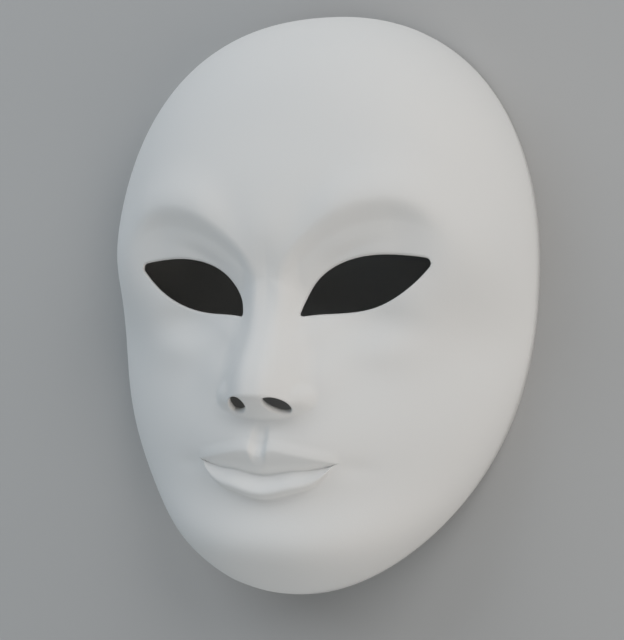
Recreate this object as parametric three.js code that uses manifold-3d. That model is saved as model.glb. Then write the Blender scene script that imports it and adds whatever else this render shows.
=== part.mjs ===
// A full-face volto mask in gessoed papier-mache: one thin shell that lies face up on its rim.
// Millimetres, +Z up. +Y runs towards the forehead and +X to the viewer's right of the face.
// The outer skin is a height above the resting plane z = 0, because such a mask is pressed
// in an open mould and has no undercuts. The inner skin lies one wall thickness behind it.

import * as THREE from 'three';
import { mergeVertices } from 'three/addons/utils/BufferGeometryUtils.js';
import Module from 'manifold-3d';

// Outline: an egg whose half width changes up the face, by powers of y / HALF_HEIGHT
const HALF_HEIGHT = 122.4;
const HALF_WIDTH = 94;
const TAPER = [1, 0.064, -0.04, 0.054];
const ROUNDNESS = 2.2;

// Dome: the height over the rim, the steepness of its sides, and how both lean up the face
const DOME_HEIGHT = 60.3;
const DOME_LEAN = [1, 0.14, 0.11];
const DOME_POWER = 3.02;
const DOME_POWER_LEAN = 0.41;
const DOME_EDGE = 1.74;
const DOME_EDGE_LEAN = -0.36;
const CHEEK_HOLLOW = { depth: 2.11, at: -0.15, spread: 0.29 };

// Rim: flat along both sides for this share of the half height, then rising to both ends
const RIM_FLAT = 0.35;
const RIM_RISE_TOP = 3.7;
const RIM_RISE_CHIN = 30.1;

// Thickness of the paper and gesso wall
const WALL = 2.4;

// Soft swellings and one hollow: height, centre on the viewer's right, spread across and up
const SWELLINGS = [
  { name: 'muzzle', height: 13.4, x: 0, y: -65, across: 36.1, up: 20.5 },
  { name: 'chin', height: 22.3, x: 0, y: -106.7, across: 113.3, up: 21.4 },
  { name: 'forehead', height: 4.35, x: 0, y: 30.2, across: 57.7, up: 22.7 },
  { name: 'glabella', height: 2.9, x: 0, y: 14, across: 17, up: 14.3 },
  { name: 'cheekbone', height: 11.1, x: 59, y: -10, across: 20.9, up: 23.2 },
  { name: 'temple', height: 6.6, x: 78.3, y: 9.4, across: 12.6, up: 21 },
  { name: 'under eye', height: 2.3, x: 42.7, y: -25.6, across: 13.6, up: 8.4 },
  { name: 'nose flank', height: 2.4, x: 19.2, y: -37.8, across: 10, up: 10.1 },
  { name: 'nose root', height: 2.2, x: 12, y: -4, across: 9, up: 14 },
  { name: 'upper lid', height: 0.8, x: 38, y: 12, across: 16, up: 5 },
  { name: 'under nose', height: -1.8, x: 0, y: -54.5, across: 15, up: 5 },
];

// Brow line, and the eye socket under it: a short steep step, a long easy fall, then a rise
const BROW = { peakX: 47, peakY: 26.5, innerFall: 12.3, innerX: 30, outerFall: 11.5, outerX: 25 };
const BROW_RIDGE = { height: 3.2, above: 4, width: 12 };
const BROW_SPAN = { innerX: 6, innerFade: 24, outerX: 56, outerFade: 22 };
const SOCKET_STEP = { depth: 2.8, above: 4, ramp: 9 };
const SOCKET_FALL = { depth: 1.5, above: 2, ramp: 24 };
const SOCKET_FLOOR = { below: 17.4, rise: 20.1 };
const SOCKET_SPAN = { innerX: 4, innerFade: 8.6, outerX: 46, outerFade: 21.8 };
const LID_FOLD = { depth: 0.8, x: 33, across: 10, below: 12, width: 2.6 };

// Nose: a ridge from the brow to the level tip, cut under the tip by a slanted plane
const NOSE = { tipY: -38, tipZ: 77.5, topZ: 77.8, ridgeSlope: 0.64, topRounding: 5 };
const NOSE_UNDER = { y: -51.7, z: 66.2, slope: 2, sweep: 4.5, sweepX: 16, rounding: 3.5 };
const NOSE_SIDE = { slope: 2.3, power: 2.8, bridgeWidth: 9.2, tipWidth: 10.7, widening: 1.33 };
const NOSE_WING = { x: 13, y: -46, z: 66.4, drop: 7, across: 6.5, up: 6.8 };

// Rounding where nose and wings meet the face: tight at the base of the nose, wide above it
const NOSE_BASE = { y: -51, fade: 8 };
const NOSE_VALLEY = { base: 3, tip: 8.5, bridge: 15.5 };
const WING_VALLEY = { base: 2.5, side: 5 };

// Mouth: cupid's bow, the line between the lips, a rolled lower lip and dimples at the corners
const MOUTH = { halfWidth: 28.1, cornerY: -69.4, lineDip: 5.1, lineBend: 1.8 };
const MOUTH_WAVE = { height: 0.9, x: 11, across: 6 };
const BOW = { height: 4.2, x: 7, bend: 1.1, dip: 3.3, dipWidth: 3.4 };
const UPPER_LIP = { edge: 1.5, fall: 1.3, fade: 5 };
const LOWER_LIP = { halfWidth: 26.2, thickness: 9.3, edgeBend: 3.2, edgeFullness: 0.7 };
const LOWER_ROLL = { crest: 3.7, crestAt: 0.75, fullness: 0.4, fall: 1.7 };
const LIP_SINK = 2.8;
const LEAST_LIP = 0.3;
const LIP_CREASE = { depth: 0.3, below: 0.5, width: 2, fullX: 8, fade: 20 };
const DIMPLE = { depth: 0.7, x: 34, y: -71, across: 7, up: 3.5 };
const PHILTRUM = { depth: 1.5, width: 2.8, flatness: 4, intoLip: 5, lipFade: 6, topY: -60, topFade: 6 };

// Eye hole on the viewer's right: its corners, and the handles of the two lids
const EYE = {
  inner: [11.85, -14.2],
  outer: [61.7, 8],
  upper: [[14.1, 3.7], [29.7, 14.15]],
  lower: [[27, -10.3], [42.6, -16.7]],
};
const LID_STEPS = 14;

// Nostril on the viewer's right, an ellipse seen from the front, cut square to the underside
const NOSTRIL = { x: 8.1, y: -48.5, halfWidth: 4.2, halfHeight: 2.5, tilt: -13 };
const NOSTRIL_STEPS = 16;
const NOSTRIL_REACH = 4;
const NOSTRIL_BORDER = 6;

// Grid lines of the skins: how many steps fill each stretch, in millimetres from the middle
const COLUMN_STRETCHES = [[0, 30, 10], [30, 62, 6], [62, HALF_WIDTH, 5]];
const ROWS_TO_CHIN = [[0, 36, 7], [36, 88, 19], [88, HALF_HEIGHT, 6]];
const ROWS_TO_CROWN = [[0, 32, 6], [32, HALF_HEIGHT, 10]];
const RING_BEND = 1.3;

// Wall direction: the skin's slope is taken over this reach; the rim edge keeps level
const NORMAL_REACH = 5;
const LEVEL_RIM_POWER = 12;
const SWELLINGS_RIM_POWER = 10;

const GESSO = new THREE.MeshStandardMaterial({ color: 0xe9e8e4, roughness: 0.75, metalness: 0 });

function clamp01(t) {
  return Math.min(Math.max(t, 0), 1);
}

function smoothStep(t) {
  const s = clamp01(t);
  return s * s * (3 - 2 * s);
}

// Bell curve that is 1 at t = 0; a higher power gives a flatter top
function bell(t, power = 2) {
  return Math.exp(-(Math.abs(t) ** power));
}

// The larger of two heights, with the corner where they cross rounded off
function softMax(a, b, rounding) {
  const overlap = Math.max(rounding - Math.abs(a - b), 0);
  return Math.max(a, b) + overlap ** 2 / (4 * rounding);
}

function softMin(a, b, rounding) {
  return -softMax(-a, -b, rounding);
}

function polynomial(coefficients, t) {
  return coefficients.reduceRight((sum, coefficient) => sum * t + coefficient, 0);
}

// 0 in the middle of the face and 1 on its outline
function gauge(x, y) {
  const up = y / HALF_HEIGHT;
  const across = Math.abs(x) / (HALF_WIDTH * polynomial(TAPER, up));
  return (across ** ROUNDNESS + Math.abs(up) ** ROUNDNESS) ** (1 / ROUNDNESS);
}

function rimHeight(y) {
  const rise = y > 0 ? RIM_RISE_TOP : RIM_RISE_CHIN;
  const beyond = Math.max(Math.abs(y) / HALF_HEIGHT - RIM_FLAT, 0) / (1 - RIM_FLAT);
  return rise * beyond ** 2;
}

function domeHeight(x, y) {
  const up = y / HALF_HEIGHT;
  const reach = Math.min(gauge(x, y), 1);
  const side = 1 - (Math.abs(up) / Math.max(reach, 1e-6)) ** ROUNDNESS;
  const hollow = CHEEK_HOLLOW.depth * bell((up - CHEEK_HOLLOW.at) / CHEEK_HOLLOW.spread);
  const power = DOME_POWER + DOME_POWER_LEAN * up - hollow * clamp01(side);
  const edge = DOME_EDGE + DOME_EDGE_LEAN * up;
  const rim = rimHeight(y);
  const crown = DOME_HEIGHT * polynomial(DOME_LEAN, up);
  return rim + (crown - rim) * clamp01(1 - reach ** power) ** (1 / edge);
}

function swellingHeight(side, y) {
  let sum = 0;
  for (const bump of SWELLINGS) {
    sum += bump.height * bell((side - bump.x) / bump.across) * bell((y - bump.y) / bump.up);
  }
  return sum;
}

// Distance below the arched line of the brow
function belowBrow(side, y) {
  const inward = Math.max(BROW.peakX - side, 0) / BROW.innerX;
  const outward = Math.max(side - BROW.peakX, 0) / BROW.outerX;
  return BROW.peakY - BROW.innerFall * inward ** 2 - BROW.outerFall * outward ** 2 - y;
}

// 1 between the inner and outer fades of a span, and 0 beyond them
function within(span, side) {
  const inner = smoothStep((side - span.innerX) / span.innerFade);
  return inner * (1 - smoothStep((side - span.outerX) / span.outerFade));
}

function socketDepth(side, y) {
  const below = belowBrow(side, y);
  const step = SOCKET_STEP.depth * smoothStep((below + SOCKET_STEP.above) / SOCKET_STEP.ramp);
  const fall = SOCKET_FALL.depth * smoothStep((below + SOCKET_FALL.above) / SOCKET_FALL.ramp);
  const back = 1 - smoothStep((below - SOCKET_FLOOR.below) / SOCKET_FLOOR.rise);
  const crease = (below - LID_FOLD.below) / LID_FOLD.width;
  const fold = bell((side - LID_FOLD.x) / LID_FOLD.across) * bell(crease);
  return (step + fall) * back * within(SOCKET_SPAN, side) + LID_FOLD.depth * fold;
}

function browRidge(side, y) {
  const offCrest = (belowBrow(side, y) + BROW_RIDGE.above) / BROW_RIDGE.width;
  return BROW_RIDGE.height * bell(offCrest) * within(BROW_SPAN, side);
}

function noseUnderside(side, y) {
  const baseY = NOSE_UNDER.y + NOSE_UNDER.sweep * (side / NOSE_UNDER.sweepX) ** 2;
  return NOSE_UNDER.z + NOSE_UNDER.slope * (y - baseY);
}

// Cross-section of the nose: level on top, straight flanks, and one rounded bend between
function noseHeight(side, y) {
  const ridge = softMin(NOSE.tipZ - NOSE.ridgeSlope * (y - NOSE.tipY), NOSE.topZ, NOSE.topRounding);
  const share = Math.min(Math.max(y / NOSE.tipY, 0), 1.3) ** NOSE_SIDE.widening;
  const width = NOSE_SIDE.bridgeWidth + (NOSE_SIDE.tipWidth - NOSE_SIDE.bridgeWidth) * share;
  const bend = (1 + (side / width) ** NOSE_SIDE.power) ** (1 / NOSE_SIDE.power) - 1;
  return softMin(ridge - NOSE_SIDE.slope * width * bend, noseUnderside(side, y), NOSE_UNDER.rounding);
}

function wingHeight(side, y) {
  const across = (side - NOSE_WING.x) / NOSE_WING.across;
  const up = (y - NOSE_WING.y) / NOSE_WING.up;
  const mound = NOSE_WING.z - NOSE_WING.drop * (across ** 2 + up ** 2);
  return softMin(mound, noseUnderside(side, y), NOSE_UNDER.rounding);
}

// Where the upper lip starts, where the lips meet and where the lower lip ends, as y
function lipLines(side) {
  const q = Math.min(side / MOUTH.halfWidth, 1);
  const bowAt = 1 - (BOW.x / MOUTH.halfWidth) ** BOW.bend;
  const dip = BOW.dip * bell(side / BOW.dipWidth);
  const top = MOUTH.cornerY + (BOW.height * (1 - q ** BOW.bend)) / bowAt - dip;
  const wave = MOUTH_WAVE.height * bell((side - MOUTH_WAVE.x) / MOUTH_WAVE.across);
  const middle = MOUTH.cornerY - MOUTH.lineDip * (1 - q ** MOUTH.lineBend) + wave;
  const lower = Math.min(side / LOWER_LIP.halfWidth, 1);
  const fullness = (1 - lower ** LOWER_LIP.edgeBend) ** LOWER_LIP.edgeFullness;
  return { top, middle, bottom: middle - LOWER_LIP.thickness * fullness };
}

// The upper lip is a low step that sinks to the meeting line
function upperLipRelief(swell, y, top, middle) {
  const share = clamp01((y - middle) / Math.max(top - middle, LEAST_LIP));
  const sink = (UPPER_LIP.edge + LIP_SINK) * (1 - share) ** UPPER_LIP.fall;
  return swell * (UPPER_LIP.edge - sink) * (1 - smoothStep((y - top) / UPPER_LIP.fade));
}

// The lower lip climbs from the meeting line by (5t - t^5) / 4 to its crest, then falls
function lowerLipRelief(swell, crest, y, middle, bottom) {
  const { crestAt, fall } = LOWER_ROLL;
  const sunk = LIP_SINK * swell;
  const share = clamp01((middle - y) / Math.max(middle - bottom, LEAST_LIP));
  const climb = share / crestAt;
  if (climb < 1) return ((sunk + crest) * (5 * climb - climb ** 5)) / 4 - sunk;
  return crest * (1 - ((share - crestAt) / (1 - crestAt)) ** fall);
}

function lipRelief(side, y) {
  if (side >= MOUTH.halfWidth) return 0;
  const { top, middle, bottom } = lipLines(side);
  const swell = Math.sqrt(1 - (side / MOUTH.halfWidth) ** 2);
  if (y > middle) return upperLipRelief(swell, y, top, middle);
  if (side >= LOWER_LIP.halfWidth) return 0;
  const roll = (1 - (side / LOWER_LIP.halfWidth) ** 2) ** LOWER_ROLL.fullness;
  return lowerLipRelief(swell, LOWER_ROLL.crest * roll, y, middle, bottom);
}

// The crease under the lower lip, the dimple past the corner and the groove of the philtrum
function mouthGrooves(side, y) {
  const { top, bottom } = lipLines(side);
  const span = 1 - smoothStep((side - LIP_CREASE.fullX) / LIP_CREASE.fade);
  const crease = bell((y - bottom + LIP_CREASE.below) / LIP_CREASE.width) * span;
  const dimple = bell((side - DIMPLE.x) / DIMPLE.across) * bell((y - DIMPLE.y) / DIMPLE.up);
  const start = smoothStep((y - top + PHILTRUM.intoLip) / PHILTRUM.lipFade);
  const along = start * (1 - smoothStep((y - PHILTRUM.topY) / PHILTRUM.topFade));
  const groove = bell(side / PHILTRUM.width, PHILTRUM.flatness) * along;
  return LIP_CREASE.depth * crease + DIMPLE.depth * dimple + PHILTRUM.depth * groove;
}

// Height of the outer skin over the resting plane
function faceHeight(x, y) {
  const side = Math.abs(x);
  const offRim = 1 - Math.min(gauge(x, y), 1) ** SWELLINGS_RIM_POWER;
  let z = domeHeight(x, y) + offRim * (swellingHeight(side, y) + browRidge(side, y));
  z -= socketDepth(side, y);
  const aboveBase = smoothStep((y - NOSE_BASE.y) / NOSE_BASE.fade);
  const upNose = clamp01(1 - y / NOSE.tipY);
  const valley = THREE.MathUtils.lerp(NOSE_VALLEY.base, NOSE_VALLEY.tip, aboveBase);
  z = softMax(z, noseHeight(side, y), valley + (NOSE_VALLEY.bridge - NOSE_VALLEY.tip) * upNose);
  const wingValley = THREE.MathUtils.lerp(WING_VALLEY.base, WING_VALLEY.side, aboveBase);
  z = softMax(z, wingHeight(side, y), wingValley);
  return z + lipRelief(side, y) - mouthGrooves(side, y);
}

// Unit vector out of the wall, taken over a few millimetres. It is level at the rim, and
// square to the underside of the nose round the nostrils.
function wallNormal(x, y) {
  const slopeX = faceHeight(x + NORMAL_REACH, y) - faceHeight(x - NORMAL_REACH, y);
  const slopeY = faceHeight(x, y + NORMAL_REACH) - faceHeight(x, y - NORMAL_REACH);
  const up = 2 * NORMAL_REACH * (1 - Math.min(gauge(x, y), 1) ** LEVEL_RIM_POWER);
  const normal = new THREE.Vector3(-slopeX, -slopeY, up).normalize();
  const toNostril = Math.hypot(Math.abs(x) - NOSTRIL.x, y - NOSTRIL.y);
  const straight = new THREE.Vector3(0, -NOSE_UNDER.slope, 1).normalize();
  return normal.lerp(straight, bell(toNostril / NOSTRIL_BORDER, 4)).normalize();
}

// Grid lines run evenly in the ring radius, which crowds them towards the steep rim
function ringRadius(reach) {
  return Math.asin(reach * Math.sin(RING_BEND)) / RING_BEND;
}

function ringReach(radius) {
  return Math.sin(radius * RING_BEND) / Math.sin(RING_BEND);
}

function gridLines(stretches, fullLength) {
  const lines = [0];
  for (const [from, to, steps] of stretches) {
    const start = ringRadius(from / fullLength);
    const end = ringRadius(to / fullLength);
    for (let i = 1; i <= steps; i += 1) lines.push(start + ((end - start) * i) / steps);
  }
  return lines;
}

function mirroredLines(negative, positive) {
  const mirrored = negative.slice(1).reverse();
  return mirrored.map((value) => -value).concat(positive);
}

// A square of grid lines is drawn out into a disc, and the disc into the egg
function gridPoint(u, v) {
  const discX = u * Math.sqrt(1 - (v * v) / 2);
  const discY = v * Math.sqrt(1 - (u * u) / 2);
  const radius = Math.hypot(discX, discY);
  if (radius < 1e-9) return [0, 0];
  const reach = ringReach(Math.min(radius, 1));
  const dirX = discX / radius;
  const dirY = discY / radius;
  const toEgg = (Math.abs(dirX) ** ROUNDNESS + Math.abs(dirY) ** ROUNDNESS) ** (-1 / ROUNDNESS);
  const up = reach * dirY * toEgg;
  return [HALF_WIDTH * polynomial(TAPER, up) * reach * dirX * toEgg, HALF_HEIGHT * up];
}

// Closed shell: outer skin, inner skin one wall behind it, and the flat edge of the rim
function shellGeometry() {
  const columns = mirroredLines(
    gridLines(COLUMN_STRETCHES, HALF_WIDTH),
    gridLines(COLUMN_STRETCHES, HALF_WIDTH),
  );
  const rows = mirroredLines(
    gridLines(ROWS_TO_CHIN, HALF_HEIGHT),
    gridLines(ROWS_TO_CROWN, HALF_HEIGHT),
  );
  const across = columns.length;
  const outer = [];
  const inner = [];
  for (const v of rows) {
    for (const u of columns) {
      const [x, y] = gridPoint(u, v);
      const point = new THREE.Vector3(x, y, faceHeight(x, y));
      outer.push(point);
      inner.push(point.clone().addScaledVector(wallNormal(x, y), -WALL));
    }
  }
  const index = [];
  const behind = outer.length;
  const quad = (a, b, c, d) => index.push(a, b, c, a, c, d);
  for (let j = 0; j < rows.length - 1; j += 1) {
    for (let i = 0; i < across - 1; i += 1) {
      const a = j * across + i;
      const c = a + across + 1;
      quad(a, a + 1, c, c - 1);
      quad(behind + a, behind + c - 1, behind + c, behind + a + 1);
    }
  }
  const loop = rimLoop(across, rows.length);
  loop.forEach((a, k) => {
    const b = loop[(k + 1) % loop.length];
    quad(b, a, behind + a, behind + b);
  });
  const geometry = new THREE.BufferGeometry();
  const corners = outer.concat(inner).flatMap((point) => point.toArray());
  geometry.setAttribute('position', new THREE.Float32BufferAttribute(corners, 3));
  geometry.setIndex(index);
  return geometry;
}

// Indices of the grid's outline, anticlockwise from the lower left corner
function rimLoop(across, up) {
  const loop = [];
  for (let i = 0; i < across - 1; i += 1) loop.push(i);
  for (let j = 0; j < up - 1; j += 1) loop.push(j * across + across - 1);
  for (let i = across - 1; i > 0; i -= 1) loop.push((up - 1) * across + i);
  for (let j = up - 1; j > 0; j -= 1) loop.push(j * across);
  return loop;
}

// Almond block that cuts one eye hole straight down through the wall
function eyeCutter(side) {
  const shape = new THREE.Shape();
  const at = ([x, y]) => [side * x, y];
  shape.moveTo(...at(EYE.inner));
  shape.bezierCurveTo(...at(EYE.upper[0]), ...at(EYE.upper[1]), ...at(EYE.outer));
  shape.bezierCurveTo(...at(EYE.lower[1]), ...at(EYE.lower[0]), ...at(EYE.inner));
  return new THREE.ExtrudeGeometry(shape, {
    depth: NOSE.topZ,
    curveSegments: LID_STEPS,
    bevelEnabled: false,
  });
}

// Oval block that cuts one nostril square to the underside of the nose. The ellipse is given
// as seen from the front, so it is drawn out along the slope before the block is leant over.
function nostrilCutter(side) {
  const tilt = THREE.MathUtils.degToRad(NOSTRIL.tilt);
  const alongSlope = Math.hypot(1, NOSE_UNDER.slope);
  const points = [];
  for (let k = 0; k < NOSTRIL_STEPS; k += 1) {
    const angle = (2 * Math.PI * k) / NOSTRIL_STEPS;
    const point = new THREE.Vector2(Math.cos(angle), Math.sin(angle));
    point.multiply(new THREE.Vector2(NOSTRIL.halfWidth, NOSTRIL.halfHeight));
    point.rotateAround(new THREE.Vector2(0, 0), tilt);
    points.push(point.multiply(new THREE.Vector2(side, alongSlope)));
  }
  const shape = new THREE.Shape(points);
  const geometry = new THREE.ExtrudeGeometry(shape, { depth: 2 * NOSTRIL_REACH, bevelEnabled: false });
  geometry.translate(0, 0, -NOSTRIL_REACH);
  geometry.rotateX(Math.atan(NOSE_UNDER.slope));
  geometry.translate(side * NOSTRIL.x, NOSTRIL.y, faceHeight(NOSTRIL.x, NOSTRIL.y));
  return geometry;
}

const wasm = await Module();
wasm.setup();

function toSolid(geometry) {
  const bare = geometry.clone();
  bare.deleteAttribute('normal');
  bare.deleteAttribute('uv');
  const welded = mergeVertices(bare, 1e-4);
  const vertProperties = new Float32Array(welded.attributes.position.array);
  const triVerts = new Uint32Array(welded.index.array);
  return new wasm.Manifold(new wasm.Mesh({ numProp: 3, vertProperties, triVerts }));
}

function toGeometry(solid) {
  const mesh = solid.getMesh();
  const geometry = new THREE.BufferGeometry();
  geometry.setAttribute('position', new THREE.BufferAttribute(mesh.vertProperties, 3));
  geometry.setIndex(new THREE.BufferAttribute(mesh.triVerts, 1));
  geometry.computeVertexNormals();
  return geometry;
}

function voltoMask() {
  let shell = toSolid(shellGeometry());
  for (const side of [-1, 1]) {
    shell = shell.subtract(toSolid(eyeCutter(side)));
    shell = shell.subtract(toSolid(nostrilCutter(side)));
  }
  const mask = new THREE.Mesh(toGeometry(shell), GESSO);
  mask.name = 'volto_mask';
  return mask;
}

const part = new THREE.Group();
part.add(voltoMask());

export default part;
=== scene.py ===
# %% [markdown]
# A volto mask, face up on a table
#
# A volto is the plain full-face mask of the Venetian carnival. The real one is made by
# pressing wet paper and paste into an open plaster mould, drying the thin shell, cutting
# out the eyes and nostrils, and coating the outside with gesso that is sanded smooth.
# This lesson builds that shell as a surface worked out with numpy: the outer skin is a
# height z(x, y) over the table, because a thing that leaves an open mould has no undercuts.

import math
from types import SimpleNamespace as Values

import bpy
import numpy as np
from mathutils import Matrix, Vector
from numpy.polynomial.polynomial import polyval


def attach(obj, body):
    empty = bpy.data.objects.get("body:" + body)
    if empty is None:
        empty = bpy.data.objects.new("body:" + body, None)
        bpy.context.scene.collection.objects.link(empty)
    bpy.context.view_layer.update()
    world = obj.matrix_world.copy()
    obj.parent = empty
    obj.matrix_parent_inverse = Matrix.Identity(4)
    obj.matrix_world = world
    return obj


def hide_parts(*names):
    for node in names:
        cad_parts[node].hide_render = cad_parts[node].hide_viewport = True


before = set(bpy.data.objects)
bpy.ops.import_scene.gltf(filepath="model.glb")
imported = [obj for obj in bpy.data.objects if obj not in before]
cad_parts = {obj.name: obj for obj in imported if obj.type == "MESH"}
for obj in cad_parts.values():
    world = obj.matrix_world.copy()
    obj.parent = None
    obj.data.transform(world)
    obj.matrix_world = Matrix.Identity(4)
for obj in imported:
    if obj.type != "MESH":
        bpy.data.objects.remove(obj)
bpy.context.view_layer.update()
MM = 0.001

# %% [markdown]
# Small shaping tools
#
# A sculptor works with a few moves: raise a soft bump, let a hollow fade out, or let one
# mass run into another with a rounded corner. Each move is a short formula here, and all
# of them take whole arrays, so the same line shapes every point of the mask at once.

# %% Shaping functions


def smooth_step(t):
    """0 below 0, 1 above 1, and 3t^2 - 2t^3 between, which starts and ends level."""
    t = np.clip(t, 0.0, 1.0)
    return t * t * (3 - 2 * t)


def bell(t, power=2.0):
    """e to the minus |t|^power: 1 in the middle, fading to 0; a high power is flat-topped."""
    return np.exp(-np.abs(t) ** power)


def soft_max(a, b, rounding):
    """The larger of a and b, plus overlap^2 / (4 rounding) where they are close together."""
    overlap = np.maximum(rounding - np.abs(a - b), 0.0)
    return np.maximum(a, b) + overlap**2 / (4 * rounding)


def soft_min(a, b, rounding):
    """The smaller of a and b, rounded in the same way."""
    return -soft_max(-a, -b, rounding)


print("two equal heights of 1 mm, merged over 4 mm:", soft_max(1.0, 1.0, 4.0), "mm")

# %% [markdown]
# The egg outline and the dome
#
# Seen from the front the mask is an egg, wider at the brow than at the jaw. It could be a
# traced curve, but a superellipse with a tapered width needs only a few numbers and gives
# every point a gauge that is 0 in the middle of the face and 1 on the rim. The dome is a
# power of that gauge: nearly flat over the middle and almost upright at the rim. Numbers
# that change up the face are the coefficients of a polynomial in y over the half height.

# %% Outline and dome
HALF_HEIGHT = 122.4
HALF_WIDTH = 94.0
TAPER = (1.0, 0.064, -0.04, 0.054)
ROUNDNESS = 2.2
DOME_HEIGHT = 60.3
DOME_LEAN = (1.0, 0.14, 0.11)
DOME_POWER = (3.02, 0.41)
DOME_EDGE = (1.74, -0.36)
CHEEK_HOLLOW = Values(depth=2.11, at=-0.15, spread=0.29)
RIM_FLAT = 0.35
RIM_RISE_TOP = 3.7
RIM_RISE_CHIN = 30.1
TINY = 1e-6


def taper(up):
    """Share of the full half width at height up, a cubic in up."""
    return polyval(up, TAPER)


def gauge(x, y):
    """(|x / w|^n + |y / h|^n)^(1/n), with w the tapered half width and h the half height."""
    up = y / HALF_HEIGHT
    across = np.abs(x) / (HALF_WIDTH * taper(up))
    return (across**ROUNDNESS + np.abs(up) ** ROUNDNESS) ** (1 / ROUNDNESS)


def rim_height(y):
    """Level along the sides, then rising with the square of the way to either end."""
    rise = np.where(y > 0, RIM_RISE_TOP, RIM_RISE_CHIN)
    beyond = np.maximum(np.abs(y) / HALF_HEIGHT - RIM_FLAT, 0) / (1 - RIM_FLAT)
    return rise * beyond**2


def dome_height(x, y):
    """rim + (crown - rim) * (1 - gauge^m)^(1/k); m drops at the sides to hollow the cheeks."""
    up = y / HALF_HEIGHT
    reach = np.minimum(gauge(x, y), 1.0)
    sideways = np.clip(1 - (np.abs(up) / np.maximum(reach, TINY)) ** ROUNDNESS, 0, 1)
    hollow = CHEEK_HOLLOW.depth * bell((up - CHEEK_HOLLOW.at) / CHEEK_HOLLOW.spread)
    power = polyval(up, DOME_POWER) - hollow * sideways
    rim = rim_height(y)
    crown = DOME_HEIGHT * polyval(up, DOME_LEAN)
    return rim + (crown - rim) * np.clip(1 - reach**power, 0, 1) ** (1 / polyval(up, DOME_EDGE))


rim_ends = dome_height(np.zeros(2), np.array([-HALF_HEIGHT, HALF_HEIGHT]))
print("the rim stands", rim_ends.round(1), "mm high at the chin and at the forehead")

# %% [markdown]
# Soft masses of the face
#
# Cheekbones, chin, forehead and the swelling round the mouth are broad and have no edges.
# They could be pulled up by hand in sculpt mode, but a bell-shaped bump has only a height,
# a place and a spread, and can be changed later. One of them is a hollow, under the nose.
# The left half mirrors the right, because only the distance from the middle line counts.
# All of them die away at the rim, so that the rim keeps its own level line.

# %% Swellings
SWELLINGS = {
    # name: height, place across and up, spread across and up
    "muzzle": (13.4, 0.0, -65.0, 36.1, 20.5),
    "chin": (22.3, 0.0, -106.7, 113.3, 21.4),
    "forehead": (4.35, 0.0, 30.2, 57.7, 22.7),
    "glabella": (2.9, 0.0, 14.0, 17.0, 14.3),
    "cheekbone": (11.1, 59.0, -10.0, 20.9, 23.2),
    "temple": (6.6, 78.3, 9.4, 12.6, 21.0),
    "under eye": (2.3, 42.7, -25.6, 13.6, 8.4),
    "nose flank": (2.4, 19.2, -37.8, 10.0, 10.1),
    "nose root": (2.2, 12.0, -4.0, 9.0, 14.0),
    "upper lid": (0.8, 38.0, 12.0, 16.0, 5.0),
    "under nose": (-1.8, 0.0, -54.5, 15.0, 5.0),
}
SWELLINGS_RIM_POWER = 10


def swelling_height(side, y):
    """Sum of the bumps: height * bell across * bell up."""
    total = np.zeros_like(side)
    for height, x0, y0, across, up in SWELLINGS.values():
        total += height * bell((side - x0) / across) * bell((y - y0) / up)
    return total


print(len(SWELLINGS), "swellings, the highest", max(row[0] for row in SWELLINGS.values()), "mm")

# %% [markdown]
# Brows and eye sockets
#
# On the real mask the brow is an arched ridge, and under it the surface drops into the
# socket before it comes forward again as the cheek. The arch is two parabolas that meet
# at the peak of the brow. The depth of the socket depends only on how far a point lies
# below that arch, so the hollow follows the brow all the way along.

# %% Brow and socket
BROW = Values(peak_x=47.0, peak_y=26.5)
BROW_INNER = Values(fall=12.3, over=30.0)
BROW_OUTER = Values(fall=11.5, over=25.0)
BROW_RIDGE = Values(height=3.2, above=4.0, width=12.0)
BROW_SPAN = Values(inner_x=6.0, inner_fade=24.0, outer_x=56.0, outer_fade=22.0)
SOCKET_STEP = Values(depth=2.8, above=4.0, ramp=9.0)
SOCKET_FALL = Values(depth=1.5, above=2.0, ramp=24.0)
SOCKET_FLOOR = Values(below=17.4, rise=20.1)
SOCKET_SPAN = Values(inner_x=4.0, inner_fade=8.6, outer_x=46.0, outer_fade=21.8)
LID_FOLD = Values(depth=0.8, x=33.0, across=10.0, below=12.0, width=2.6)


def below_brow(side, y):
    """Height of the brow arch at this side distance, minus y."""
    inward = np.maximum(BROW.peak_x - side, 0) / BROW_INNER.over
    outward = np.maximum(side - BROW.peak_x, 0) / BROW_OUTER.over
    return BROW.peak_y - BROW_INNER.fall * inward**2 - BROW_OUTER.fall * outward**2 - y


def within(span, side):
    """A smooth step up over the inner fade times a smooth step down over the outer fade."""
    inner = smooth_step((side - span.inner_x) / span.inner_fade)
    return inner * (1 - smooth_step((side - span.outer_x) / span.outer_fade))


def socket_depth(side, y):
    """(short steep fall + long easy fall) * rise to the cheek * span, + the fold of the lid."""
    below = below_brow(side, y)
    step = SOCKET_STEP.depth * smooth_step((below + SOCKET_STEP.above) / SOCKET_STEP.ramp)
    fall = SOCKET_FALL.depth * smooth_step((below + SOCKET_FALL.above) / SOCKET_FALL.ramp)
    back = 1 - smooth_step((below - SOCKET_FLOOR.below) / SOCKET_FLOOR.rise)
    crease = (below - LID_FOLD.below) / LID_FOLD.width
    fold = bell((side - LID_FOLD.x) / LID_FOLD.across) * bell(crease)
    return (step + fall) * back * within(SOCKET_SPAN, side) + LID_FOLD.depth * fold


def brow_ridge(side, y):
    """A low bell along the arch that fades towards the nose and the temple."""
    off_crest = (below_brow(side, y) + BROW_RIDGE.above) / BROW_RIDGE.width
    return BROW_RIDGE.height * bell(off_crest) * within(BROW_SPAN, side)


below_peak = socket_depth(np.array([BROW.peak_x]), np.zeros(1))
print("the socket is", below_peak.round(1), "mm deep below the peak of the brow")

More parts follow.
